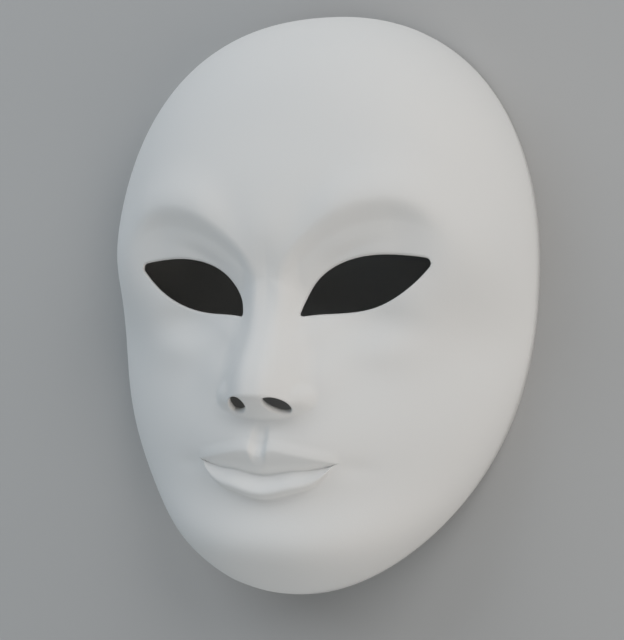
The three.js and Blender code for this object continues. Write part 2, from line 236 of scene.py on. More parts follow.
# %% [markdown]
# The nose
#
# The nose is a ridge that climbs from the brow to a level tip and is cut off below by a
# slanted plane, which carries the nostrils. Across, it is level on top and straight on its
# flanks. A hyperbola has that form too, but its top is too round; a power higher than the
# square makes the front flatter. Two low mounds make the wings.

# %% Nose
NOSE = Values(tip_y=-38.0, tip_z=77.3, top_z=77.6, ridge_slope=0.64, top_rounding=5.0)
NOSE_FLANK = Values(slope=2.3, power=2.8)
NOSE_WIDTH = Values(bridge=9.2, more_at_tip=1.5, widening=1.33, most=1.3)
NOSE_UNDER = Values(y=-51.7, z=66.2, slope=2.0, sweep=4.5, sweep_x=16.0, rounding=3.5)
NOSE_WING = Values(x=13.0, y=-46.0, z=66.4, drop=7.0, across=6.5, up=6.8)


def nose_underside(side, y):
    """A plane that falls by its slope for each mm down the face, swept back to the sides."""
    base_y = NOSE_UNDER.y + NOSE_UNDER.sweep * (side / NOSE_UNDER.sweep_x) ** 2
    return NOSE_UNDER.z + NOSE_UNDER.slope * (y - base_y)


def nose_height(side, y):
    """min(min(slope, top) - fall to the sides, underside), with both minimums rounded."""
    slope = NOSE.tip_z - NOSE.ridge_slope * (y - NOSE.tip_y)
    ridge = soft_min(slope, NOSE.top_z, NOSE.top_rounding)
    share = np.clip(y / NOSE.tip_y, 0, NOSE_WIDTH.most) ** NOSE_WIDTH.widening
    width = NOSE_WIDTH.bridge + NOSE_WIDTH.more_at_tip * share
    bend = (1 + (side / width) ** NOSE_FLANK.power) ** (1 / NOSE_FLANK.power) - 1
    flank = ridge - NOSE_FLANK.slope * width * bend
    return soft_min(flank, nose_underside(side, y), NOSE_UNDER.rounding)


def wing_height(side, y):
    """A paraboloid mound beside the tip of the nose, cut off by the same underside."""
    across = (side - NOSE_WING.x) / NOSE_WING.across
    up = (y - NOSE_WING.y) / NOSE_WING.up
    mound = NOSE_WING.z - NOSE_WING.drop * (across**2 + up**2)
    return soft_min(mound, nose_underside(side, y), NOSE_UNDER.rounding)


nose_tip = nose_height(np.zeros(1), np.array([NOSE.tip_y]))
print("the tip of the nose stands", nose_tip.round(1), "mm over the table")

# %% [markdown]
# The mouth
#
# The lips are closed. Three lines cross the mouth: the cupid's bow on top, the line where
# the lips meet, and the lower edge. Between the first two the surface falls inwards and
# faces down, so it looks dark; below the middle line it rolls out again and faces up.
# The groove of the philtrum runs from the nose into the dip of the bow.

# %% Lips
MOUTH = Values(half_width=28.1, corner_y=-69.4, line_dip=5.1, line_bend=1.8)
MOUTH_WAVE = Values(height=0.9, x=11.0, across=6.0)
BOW = Values(height=4.2, x=7.0, bend=1.1, dip=3.3, dip_width=3.4)
UPPER_LIP = Values(edge=1.5, fall=1.3, fade=5.0)
LOWER_LIP = Values(half_width=26.2, thickness=9.3, edge_bend=3.2, edge_fullness=0.7)
LOWER_ROLL = Values(crest=3.7, crest_at=0.75, fullness=0.4, fall=1.7)
LIP_SINK = 2.8
THINNEST_LIP = 0.3
LIP_CREASE = Values(depth=0.3, below=0.5, width=2.0, full_x=8.0, fade=20.0)
DIMPLE = Values(depth=0.7, x=34.0, y=-71.0, across=7.0, up=3.5)
PHILTRUM = Values(depth=1.5, width=2.8, flatness=4, top_y=-60.0, top_fade=6.0)
PHILTRUM_FOOT = Values(into_lip=5.0, fade=6.0)


def lip_lines(side):
    """Heights on the face of the bow, the meeting line and the lower edge."""
    out = np.minimum(side / MOUTH.half_width, 1.0)
    bow_at = 1 - (BOW.x / MOUTH.half_width) ** BOW.bend
    dip = BOW.dip * bell(side / BOW.dip_width)
    top = MOUTH.corner_y + BOW.height * (1 - out**BOW.bend) / bow_at - dip
    wave = MOUTH_WAVE.height * bell((side - MOUTH_WAVE.x) / MOUTH_WAVE.across)
    middle = MOUTH.corner_y - MOUTH.line_dip * (1 - out**MOUTH.line_bend) + wave
    lower = np.minimum(side / LOWER_LIP.half_width, 1.0)
    full = (1 - lower**LOWER_LIP.edge_bend) ** LOWER_LIP.edge_fullness
    return top, middle, middle - LOWER_LIP.thickness * full


def lip_relief(side, y):
    """Upper lip: a step that sinks to the meeting line. Lower: (5t - t^5) / 4 up, then a fall."""
    top, middle, bottom = lip_lines(side)
    swell = np.sqrt(np.clip(1 - (side / MOUTH.half_width) ** 2, 0, 1))
    share = np.clip((y - middle) / np.maximum(top - middle, THINNEST_LIP), 0, 1)
    step = UPPER_LIP.edge - (UPPER_LIP.edge + LIP_SINK) * (1 - share) ** UPPER_LIP.fall
    upper = swell * step * (1 - smooth_step((y - top) / UPPER_LIP.fade))
    roll = np.clip(1 - (side / LOWER_LIP.half_width) ** 2, 0, 1) ** LOWER_ROLL.fullness
    crest = LOWER_ROLL.crest * roll
    sunk = LIP_SINK * swell
    part = np.clip((middle - y) / np.maximum(middle - bottom, THINNEST_LIP), 0, 1)
    climb = np.clip(part / LOWER_ROLL.crest_at, 0, 1)
    rise = (sunk + crest) * (5 * climb - climb**5) / 4 - sunk
    beyond = np.clip((part - LOWER_ROLL.crest_at) / (1 - LOWER_ROLL.crest_at), 0, 1)
    fall = crest * (1 - beyond**LOWER_ROLL.fall)
    lower = np.where(part < LOWER_ROLL.crest_at, rise, fall)
    lower = lower * (side < LOWER_LIP.half_width)
    return np.where(y > middle, upper, lower) * (side < MOUTH.half_width)


def mouth_grooves(side, y):
    """The crease under the lower lip, a dimple past the corner and the groove of the philtrum."""
    top, _, bottom = lip_lines(side)
    crease = bell((y - bottom + LIP_CREASE.below) / LIP_CREASE.width)
    crease = crease * (1 - smooth_step((side - LIP_CREASE.full_x) / LIP_CREASE.fade))
    dimple = bell((side - DIMPLE.x) / DIMPLE.across) * bell((y - DIMPLE.y) / DIMPLE.up)
    foot = smooth_step((y - top + PHILTRUM_FOOT.into_lip) / PHILTRUM_FOOT.fade)
    along = foot * (1 - smooth_step((y - PHILTRUM.top_y) / PHILTRUM.top_fade))
    groove = bell(side / PHILTRUM.width, PHILTRUM.flatness) * along
    return LIP_CREASE.depth * crease + DIMPLE.depth * dimple + PHILTRUM.depth * groove


for name, line in zip(("bow", "meeting line", "lower edge"), lip_lines(np.zeros(1))):
    print(name, "of the lips at y =", line[0].round(1), "mm")

# %% [markdown]
# The whole outer skin
#
# The parts are put together in the order a modeller would: dome, soft masses, sockets,
# then the nose merged in with a rounded valley, and the lips last. The valley is tight
# where the nose stands on the lip, wider beside the tip and widest at the bridge.

# %% Height of the outer skin
NOSE_BASE = Values(y=-51.0, fade=8.0)
NOSE_VALLEY = Values(base=3.0, more_at_tip=5.5, more_at_bridge=7.0)
WING_VALLEY = Values(base=2.5, more_at_side=2.5)


def face_height(x, y):
    """Dome + swellings - sockets, merged with the nose and its wings, + lips - grooves."""
    side = np.abs(x)
    off_rim = 1 - np.minimum(gauge(x, y), 1.0) ** SWELLINGS_RIM_POWER
    z = dome_height(x, y) + off_rim * (swelling_height(side, y) + brow_ridge(side, y))
    z = z - socket_depth(side, y)
    above_base = smooth_step((y - NOSE_BASE.y) / NOSE_BASE.fade)
    up_nose = np.clip(1 - y / NOSE.tip_y, 0, 1)
    valley = NOSE_VALLEY.base + NOSE_VALLEY.more_at_tip * above_base
    z = soft_max(z, nose_height(side, y), valley + NOSE_VALLEY.more_at_bridge * up_nose)
    wing_valley = WING_VALLEY.base + WING_VALLEY.more_at_side * above_base
    z = soft_max(z, wing_height(side, y), wing_valley)
    return z + lip_relief(side, y) - mouth_grooves(side, y)


middle = face_height(np.zeros(1), np.zeros(1))
print("height of the middle of the face in mm:", middle.round(1))

# %% [markdown]
# A grid bent into an egg
#
# The shell needs a mesh that follows the face. A round face could be a fan from one middle
# point, but the fan would bunch up in the middle. A square grid pressed into a disc keeps
# its squares even, and the disc then takes the egg's outline. The steps get shorter
# towards the rim, where the dome turns down steeply.

# %% Square to egg
RIM_CROWDING = 1.45


def bend_out(share):
    """sin(b * share) / sin b: even steps in share become shorter steps near 1."""
    return np.sin(RIM_CROWDING * share) / np.sin(RIM_CROWDING)


def bend_in(reach):
    """The way back: asin(reach * sin b) / b."""
    return np.arcsin(reach * np.sin(RIM_CROWDING)) / RIM_CROWDING


def egg_point(u, v):
    """Square to disc: u * root(1 - v^2 / 2), v * root(1 - u^2 / 2); then to the superellipse."""
    disc_x = u * np.sqrt(1 - v**2 / 2)
    disc_y = v * np.sqrt(1 - u**2 / 2)
    norm = (np.abs(disc_x) ** ROUNDNESS + np.abs(disc_y) ** ROUNDNESS) ** (1 / ROUNDNESS)
    reach = bend_out(np.minimum(np.hypot(disc_x, disc_y), 1.0)) / np.maximum(norm, TINY)
    up = reach * disc_y
    return HALF_WIDTH * taper(up) * reach * disc_x, HALF_HEIGHT * up


far_corner = egg_point(np.ones(1), np.ones(1))
print("the corner of the square lands", np.hypot(*far_corner).round(1), "mm from the middle")

# %% [markdown]
# Where the rows and columns run
#
# Even steps would waste faces on the plain forehead and starve the mouth. So each middle
# line is cut into stretches, each with its own number of steps. Some rows have a name,
# because they will be moved onto a lip, a nostril, an eye or the brow.

# %% Rows and columns
LIP_FOOT_ROW = -84.0
LIP_LINE_ROW = -74.5
LIP_TOP_ROW = -67.6
NOSTRIL_ROW = -48.5
EYE_ROW = -3.0
BROW_ROW = 20.0
COLUMN_STRETCHES = [(0, 32, 50), (32, 62, 28), (62, 86, 13), (86, HALF_WIDTH, 8)]
ROW_STRETCHES = [
    # from, to, steps
    (-HALF_HEIGHT, -116, 7),
    (-116, LIP_FOOT_ROW, 22),
    (LIP_FOOT_ROW, LIP_LINE_ROW, 14),
    (LIP_LINE_ROW, LIP_TOP_ROW, 12),
    (LIP_TOP_ROW, NOSTRIL_ROW, 32),
    (NOSTRIL_ROW, -36, 18),
    (-36, EYE_ROW, 36),
    (EYE_ROW, BROW_ROW, 26),
    (BROW_ROW, 36, 15),
    (36, 110, 32),
    (110, HALF_HEIGHT, 10),
]


def stations(stretches):
    """Each stretch (from, to, steps) is cut into equal steps, in mm along a middle line."""
    parts = [np.linspace(start, end, steps, endpoint=False) for start, end, steps in stretches]
    return np.append(np.concatenate(parts), stretches[-1][1])


half_columns = stations(COLUMN_STRETCHES)
row_places = stations(ROW_STRETCHES)
column_places = np.concatenate([-half_columns[:0:-1], half_columns])
u_line = bend_in(column_places / HALF_WIDTH)
v_line = bend_in(row_places / HALF_HEIGHT)
columns = len(u_line)
rows = len(v_line)
print("grid of", columns, "columns and", rows, "rows")

# %% [markdown]
# Rows that follow the lines of the face
#
# A crease is only crisp when the mesh has a row of points along it. So a few rows are
# pulled onto lines of the face. The first three are the foot of the lower lip, the line
# where the lips meet and the bow of the upper lip. The rows between will be carried along
# in proportion. Off to the sides the pull fades, so the rim stays where it is.

# %% Lip rows
MOUTH_FADE = 38.0
LEAST_UPPER_GAP = 1.4
LEAST_LOWER_GAP = 2.4


def row_of(place):
    """The number of the row that lies at this place on the middle line."""
    return int(np.argmin(np.abs(row_places - place)))


def lip_target(side, which):
    """The chosen lip line; near the corners the outer ones keep a little off the middle one."""
    top, middle, bottom = lip_lines(np.minimum(side, MOUTH.half_width))
    above = np.maximum(top - middle, LEAST_UPPER_GAP)
    below = np.maximum(middle - bottom, LEAST_LOWER_GAP)
    return middle + {"top": above, "line": 0.0, "foot": -below}[which]


def lip_pull(place, which):
    """Moves of one row, (lip line - y of the plain grid) * fade; it fades past the mouth."""
    x, y = egg_point(u_line, v_line[row_of(place)])
    side = np.abs(x)
    fade = 1 - smooth_step((side - MOUTH.half_width) / MOUTH_FADE)
    return np.column_stack([np.zeros_like(x), (lip_target(side, which) - y) * fade])


lip_rows = {LIP_FOOT_ROW: "foot", LIP_LINE_ROW: "line", LIP_TOP_ROW: "top"}
lip_pulls = {place: lip_pull(place, which) for place, which in lip_rows.items()}
largest_pull = max(np.abs(moves).max() for moves in lip_pulls.values())
print("largest pull of the lip rows in mm:", round(largest_pull, 1))

# %% [markdown]
# Outline of the eye holes
#
# Each lid is one Bezier curve. Where the two lids meet, the gesso rounds the corner, so an
# arc is laid in between: its centre is the point that lies one radius inside both curves.
# The outline is a closed loop that runs over the top first.

# %% Two lids and two arcs
EYE_INNER = (11.85, -14.2)
EYE_OUTER = (61.7, 8.0)
UPPER_LID = (EYE_INNER, (14.1, 3.7), (29.7, 14.15), EYE_OUTER)
LOWER_LID = (EYE_INNER, (27.0, -10.3), (42.6, -16.7), EYE_OUTER)
INNER_RADIUS = 0.9
OUTER_RADIUS = 2.0
CURVE_POINTS = 400
ARC_POINTS = 40


def bezier(points, t):
    """(1-t)^3 a + 3 (1-t)^2 t b + 3 (1-t) t^2 c + t^3 d."""
    a, b, c, d = (np.array(point)[None, :] for point in points)
    t = t[:, None]
    return (1 - t) ** 3 * a + 3 * (1 - t) ** 2 * t * b + 3 * (1 - t) * t**2 * c + t**3 * d


def unit(arrows):
    """Each arrow divided by its length."""
    return arrows / np.maximum(np.linalg.norm(arrows, axis=1, keepdims=True), TINY)


def beside(curve, distance):
    """The curve moved to its left by this distance, along its normal."""
    tangent = np.gradient(curve, axis=0)
    return curve + distance * unit(np.column_stack([-tangent[:, 1], tangent[:, 0]]))


def corner_arc(upper, lower, radius, share):
    """Where an arc of this radius touches each curve, and its points from lower to upper."""
    upper_inside = beside(upper, -radius)
    lower_inside = beside(lower, radius)
    gap = np.linalg.norm(upper_inside[:, None] - lower_inside[None], axis=2)
    i, j = np.unravel_index(np.argmin(gap), gap.shape)
    centre = (upper_inside[i] + lower_inside[j]) / 2
    spoke = (1 - share) * (lower[j] - centre) + share * (upper[i] - centre)
    return i, j, centre + radius * unit(spoke)


def eye_outline():
    """Upper lid, outer corner, lower lid backwards, inner corner."""
    t = np.linspace(0, 1, CURVE_POINTS)
    upper = bezier(UPPER_LID, t)
    lower = bezier(LOWER_LID, t)
    half = CURVE_POINTS // 2
    share = np.linspace(0, 1, ARC_POINTS)[:, None]
    first_up, first_low, inner_arc = corner_arc(upper[:half], lower[:half], INNER_RADIUS, share)
    last_up, last_low, outer_arc = corner_arc(upper[half:], lower[half:], OUTER_RADIUS, share)
    top = upper[first_up + 1 : half + last_up]
    bottom = lower[first_low + 1 : half + last_low]
    return np.concatenate([top, outer_arc[::-1], bottom[::-1], inner_arc])


print("the eye outline has", len(eye_outline()), "points")

# %% [markdown]
# Outline of the nostrils, and the width of the cut
#
# A nostril is a tilted ellipse. For both kinds of hole the paper is cut a little wider
# than the hole that shows, because the gesso that rounds the edge bulges inwards.

# %% Ellipse and widened loops
NOSTRIL = (8.1, -48.5)
NOSTRIL_HALF_WIDTH = 4.2
NOSTRIL_HALF_HEIGHT = 2.5
NOSTRIL_TILT = math.radians(-13)
EDGE_BULGE = 0.45


def nostril_outline():
    """centre + a cos(angle) along the tilt + b sin(angle) across it, clockwise."""
    angle = np.linspace(np.pi, -np.pi, CURVE_POINTS, endpoint=False)
    along = NOSTRIL_HALF_WIDTH * np.cos(angle)
    across = NOSTRIL_HALF_HEIGHT * np.sin(angle)
    x = along * math.cos(NOSTRIL_TILT) - across * math.sin(NOSTRIL_TILT)
    y = along * math.sin(NOSTRIL_TILT) + across * math.cos(NOSTRIL_TILT)
    return np.column_stack([NOSTRIL[0] + x, NOSTRIL[1] + y])


def widened(outline, distance):
    """Each point of a clockwise loop moved outwards, square to the line through its neighbours."""
    along = np.roll(outline, -1, axis=0) - np.roll(outline, 1, axis=0)
    return outline + distance * unit(np.column_stack([-along[:, 1], along[:, 0]]))


eye_loop = widened(eye_outline(), EDGE_BULGE)
nostril_loop = widened(nostril_outline(), EDGE_BULGE)
for name, loop in (("eye hole", eye_loop), ("nostril", nostril_loop)):
    print(name, "across and up:", np.ptp(loop, axis=0).round(1), "mm")

# %% [markdown]
# Holes as slits that open
#
# The real holes are cut with a knife after the shell is dry. Here a hole starts as a slit:
# along part of one row every point is doubled, and the two banks are drawn apart until
# they lie on the upper and the lower edge of the hole. The mesh stays regular all round
# the hole, which a boolean cut would not leave. The points are spaced by the length of
# the edge, so that the steep inner end of the eye gets its share of them.

# %% Banks of a slit
EVENNESS = 0.7


def banks_of(outline, count):
    """The loop cut at its leftmost and rightmost points; each bank in steps of
    e * t + (1 - e) * (1 - cos(pi t)) / 2, which are a little shorter at the ends."""
    outline = np.roll(outline, -int(np.argmin(outline[:, 0])), axis=0)
    turn = int(np.argmax(outline[:, 0]))
    over = outline[: turn + 1]
    under = np.concatenate([outline[turn:], outline[:1]])[::-1]
    even = np.linspace(0, 1, count)
    share = EVENNESS * even + (1 - EVENNESS) * (1 - np.cos(np.pi * even)) / 2

    def spaced(bank):
        steps = np.linalg.norm(np.diff(bank, axis=0), axis=1)
        length = np.append(0, np.cumsum(steps))
        x, y = (np.interp(share * length[-1], length, bank[:, axis]) for axis in (0, 1))
        return np.column_stack([x, y])

    return spaced(under), spaced(over)


low_bank, high_bank = banks_of(eye_loop, CURVE_POINTS)
print("the eye opens by up to", (high_bank - low_bank)[:, 1].max().round(1), "mm")

# %% [markdown]
# The rows of the eyes and the nostrils
#
# The ends of a hole lie a little off the plain grid, so the whole row has to follow them:
# towards the middle line it shifts with the inner corner, and towards the rim the move of
# the outer corner fades away. The left half mirrors the right.

# %% Opened rows
NOSTRIL_FADE_END = 60.0
FAR_OFF = 2 * HALF_WIDTH


def opened_row(place, outline, fade_end):
    """Moves of the low and the high bank of one row: onto the hole's edge between its end
    columns, the corner's own move on the inside, and that of the other corner, fading."""
    x, y = egg_point(u_line, v_line[row_of(place)])
    side = np.abs(x)
    right_x = np.where(np.arange(columns) >= columns // 2, x, FAR_OFF)
    ends = (outline[:, 0].min(), outline[:, 0].max())
    first, last = (int(np.argmin(np.abs(right_x - end))) for end in ends)
    low, high = banks_of(outline, last - first + 1)
    here = np.column_stack([x, y])
    corner_move = low[[0, -1]] - here[[first, last]]
    inward = np.column_stack([side / x[first], np.ones(columns)])
    outward = 1 - smooth_step((side - x[last]) / (fade_end - x[last]))
    to_middle = corner_move[0] * inward
    to_rim = corner_move[1] * outward[:, None]
    moves = np.where(side[:, None] < x[last], to_middle, to_rim)
    banks = []
    for bank in (low, high):
        bank_moves = moves.copy()
        bank_moves[first : last + 1] = bank - here[first : last + 1]
        bank_moves[: columns // 2] = bank_moves[: columns // 2 : -1] * [-1, 1]
        banks.append(bank_moves)
    return *banks, (first, last)


eye_low, eye_high, eye_ends = opened_row(EYE_ROW, eye_loop, HALF_WIDTH)
nostril_low, nostril_high, nostril_ends = opened_row(NOSTRIL_ROW, nostril_loop, NOSTRIL_FADE_END)
for name, ends in (("eye", eye_ends), ("nostril", nostril_ends)):
    print("columns across one", name + ":", ends[1] - ends[0])

# %% [markdown]
# A row along the brow
#
# Over the steep inner end of the eye the columns would run side by side, almost touching.
# One more guide row, along the brow, fans them out towards the nose before they go on up
# the forehead.

# %% Brow row
BROW_ROW_END = 62.0
BROW_ROW_FADE = 30.0
PLAIN_SIDES = [0, 12, 24, 40, BROW_ROW_END, HALF_WIDTH]
FANNED_SIDES = [0, 5, 13, 36, BROW_ROW_END, HALF_WIDTH]
LEAST_BROW_Y = 4.0


def brow_pull():
    """Across: plain sides to fanned sides. Up: to the brow arch, not below LEAST_BROW_Y."""
    x, y = egg_point(u_line, v_line[row_of(BROW_ROW)])
    side = np.abs(x)
    fade = 1 - smooth_step((side - BROW_ROW_END) / BROW_ROW_FADE)
    target_side = side + (np.interp(side, PLAIN_SIDES, FANNED_SIDES) - side) * fade
    target_y = np.maximum(below_brow(target_side, 0.0), LEAST_BROW_Y)
    return np.column_stack([np.sign(x) * (target_side - side), (target_y - y) * fade])


brow_moves = brow_pull()
lift = brow_moves[:, 1].round(1)
print("the brow row moves up by", lift.min(), "to", lift.max(), "mm")

# %% [markdown]
# Plan of the whole grid
#
# With the moves of every guide row known, the moves of the rows between are a straight
# blend of the guide below and the guide above. The low copy and the high copy of the
# grid differ only on the slit rows.

# %% Blend the rows
still = np.zeros((columns, 2))
guides = [
    (-HALF_HEIGHT, still, still),
    *((place, moves, moves) for place, moves in lip_pulls.items()),
    (NOSTRIL_ROW, nostril_low, nostril_high),
    (EYE_ROW, eye_low, eye_high),
    (BROW_ROW, brow_moves, brow_moves),
    (HALF_HEIGHT, still, still),
]
guide_v = np.array([v_line[row_of(place)] for place, _, _ in guides])
guide_low = np.stack([low for _, low, _ in guides])
guide_high = np.stack([high for _, _, high in guides])
below = np.clip(np.searchsorted(guide_v, v_line, side="right") - 1, 0, len(guides) - 2)
weight = ((v_line - guide_v[below]) / (guide_v[below + 1] - guide_v[below]))[:, None, None]
blended = (1 - weight) * guide_high[below] + weight * guide_low[below + 1]
plain = np.stack(egg_point(u_line[None, :], v_line[:, None]), axis=2)
plan_high = plain + blended
plan_low = plan_high.copy()
slit_rows = {}
for place, low, high, ends in (
    (EYE_ROW, eye_low, eye_high, eye_ends),
    (NOSTRIL_ROW, nostril_low, nostril_high, nostril_ends),
):
    row = row_of(place)
    slit_rows[row] = ends
    plan_low[row] = plain[row] + low
    plan_high[row] = plain[row] + high
print("widest opened gap in mm:", np.abs(plan_high - plan_low)[..., 1].max().round(1))

# %% [markdown]
# Points, sheets and holes
#
# Every grid point gets a number. Points inside a slit get a second number for the upper
# bank. A quad above a row uses the high numbers of that row, a quad below it the low
# ones, and that alone is what tears the slit open.

# %% Number the points
id_low = np.arange(rows * columns).reshape(rows, columns)
id_high = id_low.copy()
plan = plan_low.reshape(-1, 2)
hole_loops = []
for row, (first, last) in slit_rows.items():
    for start, end in ((first, last), (columns - 1 - last, columns - 1 - first)):
        between = np.arange(start + 1, end)
        id_high[row, between] = len(plan) + np.arange(len(between))
        plan = np.concatenate([plan, plan_high[row, between]])
        there = id_high[row, start : end + 1]
        back = id_low[row, start + 1 : end][::-1]
        hole_loops.append(np.concatenate([there, back]))
lower_left = id_high[:-1, :-1]
lower_right = id_high[:-1, 1:]
upper_right = id_low[1:, 1:]
upper_left = id_low[1:, :-1]
sheet_quads = np.stack([lower_left, lower_right, upper_right, upper_left], axis=2).reshape(-1, 4)
rim_loop = np.concatenate([id_low[0, :-1], id_low[:-1, -1], id_low[-1, :0:-1], id_low[:0:-1, 0]])
print(len(plan), "points and", len(sheet_quads), "quads in one sheet;", len(hole_loops), "holes")

# %% [markdown]
# Wall of even thickness
#
# Paper is pressed into the mould in layers, so the wall is about as thick everywhere. The
# inner skin is the outer one moved inwards along its normal. The normal is taken over a
# few millimetres, which softens the inside of sharp features, just as wet paper bridges
# small grooves. At the rim it is turned level, so the rim can lie flat on the table. The
# nostrils are cut straight through the underside. The eye holes are cut from above with
# the blade held slanting, so that they widen a little behind their outer corners.

# %% Outer and inner skin
WALL = 2.4
NORMAL_REACH = 5.0
LEVEL_RIM_POWER = 12
EYE_REGION = Values(x=37.0, y=-3.0, across=33.0, up=21.0, flatness=6)
BLADE_SLANT = 0.4
SLANT_START = -0.2
NOSTRIL_REGION = Values(reach=6.0, flatness=4)


def turned(normals, near, straight):
    """(1 - near) * normal + near * straight, made a unit vector again."""
    return unit((1 - near[:, None]) * normals + near[:, None] * straight)


def wall_normals(x, y):
    """(-slope x, -slope y, 1) over a wide step, level at the rim, turned to the cut at holes."""
    side = np.abs(x)
    slope_x = face_height(x + NORMAL_REACH, y) - face_height(x - NORMAL_REACH, y)
    slope_y = face_height(x, y + NORMAL_REACH) - face_height(x, y - NORMAL_REACH)
    up = 2 * NORMAL_REACH * (1 - np.minimum(gauge(x, y), 1.0) ** LEVEL_RIM_POWER)
    normals = unit(np.column_stack([-slope_x, -slope_y, up]))
    across = (side - EYE_REGION.x) / EYE_REGION.across
    from_eye = np.hypot(across, (y - EYE_REGION.y) / EYE_REGION.up)
    slant = BLADE_SLANT * np.sign(x) * smooth_step(across - SLANT_START)
    blade = np.column_stack([-slant, np.zeros_like(x), np.ones_like(x)])
    normals = turned(normals, bell(from_eye, EYE_REGION.flatness), blade)
    from_nostril = np.hypot(side - NOSTRIL[0], y - NOSTRIL[1]) / NOSTRIL_REGION.reach
    underside = np.array([0.0, -NOSE_UNDER.slope, 1.0]) / math.hypot(NOSE_UNDER.slope, 1.0)
    return turned(normals, bell(from_nostril, NOSTRIL_REGION.flatness), underside)


outer = np.column_stack([plan, face_height(plan[:, 0], plan[:, 1])])
inner = outer - WALL * wall_normals(plan[:, 0], plan[:, 1])
outer[rim_loop, 2] += EDGE_BULGE
inner[rim_loop, 2] += EDGE_BULGE
print("outer skin from", outer.min(axis=0).round(1), "to", outer.max(axis=0).round(1), "mm")

# %% [markdown]
# Rounded cut edges
#
# Where the shell was cut, at the eyes, the nostrils and the rim, the gesso rounds the
# edge. Each loop of edge points is joined to the inner skin by a narrow strip that bulges
# a little out of the cut.

# %% Edge strips
EDGE_STEPS = 4


def edge_strip(loop, first_number, inner_offset):
    """ring k = outer + (inner - outer) * t + bulge * sin(pi t), away from the paper."""
    through = inner[loop] - outer[loop]
    along = np.roll(outer[loop], -1, axis=0) - np.roll(outer[loop], 1, axis=0)
    away = unit(np.cross(through, along))
    t = (np.arange(1, EDGE_STEPS) / EDGE_STEPS)[:, None, None]
    rings = outer[loop] + through * t + EDGE_BULGE * np.sin(np.pi * t) * away
    numbers = first_number + np.arange((EDGE_STEPS - 1) * len(loop)).reshape(EDGE_STEPS - 1, -1)
    ladder = np.concatenate([loop[None], numbers, loop[None] + inner_offset])
    ahead = np.roll(ladder, -1, axis=1)
    quads = np.stack([ahead[:-1], ladder[:-1], ladder[1:], ahead[1:]], axis=2).reshape(-1, 4)
    return rings.reshape(-1, 3), quads


points = [outer, inner]
quads = [sheet_quads, sheet_quads[:, ::-1] + len(plan)]
for loop in [rim_loop, *hole_loops]:
    strip_points, strip_quads = edge_strip(loop, sum(len(part) for part in points), len(plan))
    points.append(strip_points)
    quads.append(strip_quads)
points = np.concatenate(points)
quads = np.concatenate(quads)
print("shell:", len(points), "points and", 2 * len(quads), "triangles")

# %% [markdown]
# Make the piece
#
# The arrays go into one Blender mesh in metres. The points of the inner skin are marked in
# an attribute, so that the material can be plainer inside. The piece replaces the packed
# solid, rides on the same body and takes its finish from the gesso slot.

# %% Mesh of the mask
mesh = bpy.data.meshes.new("volto_shell")
mesh.from_pydata((points * MM).tolist(), [], quads.tolist())
inside_mark = np.zeros(len(points), dtype=np.float32)
inside_mark[len(plan) : 2 * len(plan)] = 1.0
mesh.attributes.new("inside", "FLOAT", "POINT").data.foreach_set("value", inside_mark)
mesh.shade_smooth()
shell = bpy.data.objects.new("volto_shell", mesh)
bpy.context.scene.collection.objects.link(shell)
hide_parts("volto_mask")
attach(shell, "root")
print("the mesh is valid:", not mesh.validate(), "and has", len(mesh.polygons), "faces")

# %% [markdown]
# Tools for node trees
#
# A material is a tree of nodes. It could be wired by hand in the editor, but a few short
# helpers build the same tree on every run: one adds a node, one adds a noise texture, one
# does a sum, and one starts a group, which is a small tree with its own inputs and outputs.

# %% Node helpers


def add_node(tree, kind, place, **settings):
    """A node of this kind with its settings, at a place in the editor."""
    node = tree.nodes.new(kind)
    node.location = place
    for name, value in settings.items():
        setattr(node, name, value)
    return node


def noise(tree, vector, scale, detail, place, stretch=(1, 1, 1)):
    """A noise texture at so many waves per metre, on a vector that may be stretched first."""
    mapping = add_node(tree, "ShaderNodeMapping", (place[0] - 200, place[1]))
    mapping.inputs["Scale"].default_value = stretch
    tree.links.new(vector, mapping.inputs["Vector"])
    texture = add_node(tree, "ShaderNodeTexNoise", place)
    texture.inputs["Scale"].default_value = scale
    texture.inputs["Detail"].default_value = detail
    tree.links.new(mapping.outputs["Vector"], texture.inputs["Vector"])
    return texture.outputs["Fac"]


def mix_values(tree, kind, first, second, place):
    """The sum (ADD) or product (MULTIPLY) of two values; each a number or a node's output."""
    node = add_node(tree, "ShaderNodeMath", place, operation=kind)
    for socket, value in zip(node.inputs, (first, second)):
        if isinstance(value, (int, float)):
            socket.default_value = value
        else:
            tree.links.new(value, socket)
    return node.outputs["Value"]


def new_group(name, outputs):
    """An empty shader group that takes a vector and puts out the named values."""
    group = bpy.data.node_groups.new(name, "ShaderNodeTree")
    group.interface.new_socket("Vector", in_out="INPUT", socket_type="NodeSocketVector")
    for output in outputs:
        group.interface.new_socket(output, in_out="OUTPUT", socket_type="NodeSocketFloat")
    entry = add_node(group, "NodeGroupInput", (-900, 0))
    return group, entry, add_node(group, "NodeGroupOutput", (700, 0))


print("node groups before any is made:", len(bpy.data.node_groups))

# %% [markdown]
# Gesso
#
# Gesso is chalk in glue, brushed on in coats and sanded. It is matte, and close up it shows
# a fine grain, faint strokes of the brush and small patches that dried a little warmer or
# cooler. It could be painted as an image, but three noise textures of different size have
# no end and no seam. One node group makes them as plain values, so that a material can use
# each of them where it wants: colour, roughness or height.

